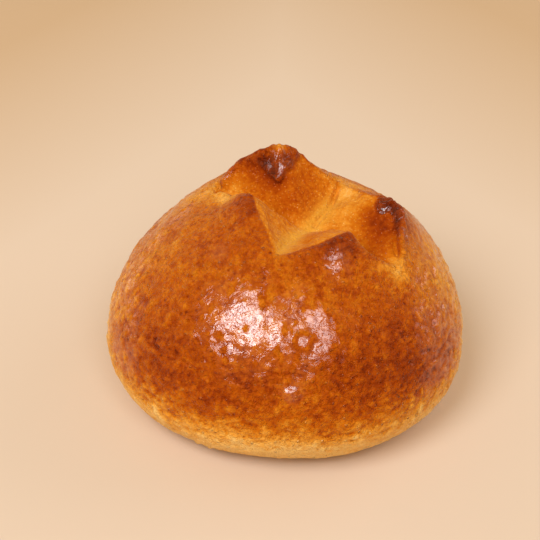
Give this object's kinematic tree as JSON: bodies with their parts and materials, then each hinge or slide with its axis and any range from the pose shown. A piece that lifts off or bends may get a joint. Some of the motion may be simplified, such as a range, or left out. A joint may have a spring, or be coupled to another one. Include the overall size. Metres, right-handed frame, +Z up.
{
  "type": "brioche bun",
  "caption": "Round glazed brioche bun on a flat base, with crossed scissor cuts on top that opened into pointed flaps around a shallow pit.",
  "frame": {"origin": "centre of the bun's bounding box in plan, on the table it stands on", "axes": "+Z up from the flat base; -Y towards the side where the cuts' front end runs down the dome; +X to the right of it; the tallest flap leans back towards +Y"},
  "size_m": [0.1084, 0.1082, 0.0671],
  "materials": {
    "baked_dough": "egg-glazed crust, glossy golden brown on the dome, pale and matte near the base and in the cuts"
  },
  "bodies": {
    "root": {"brioche": "baked_dough"}
  },
  "joints": []
}
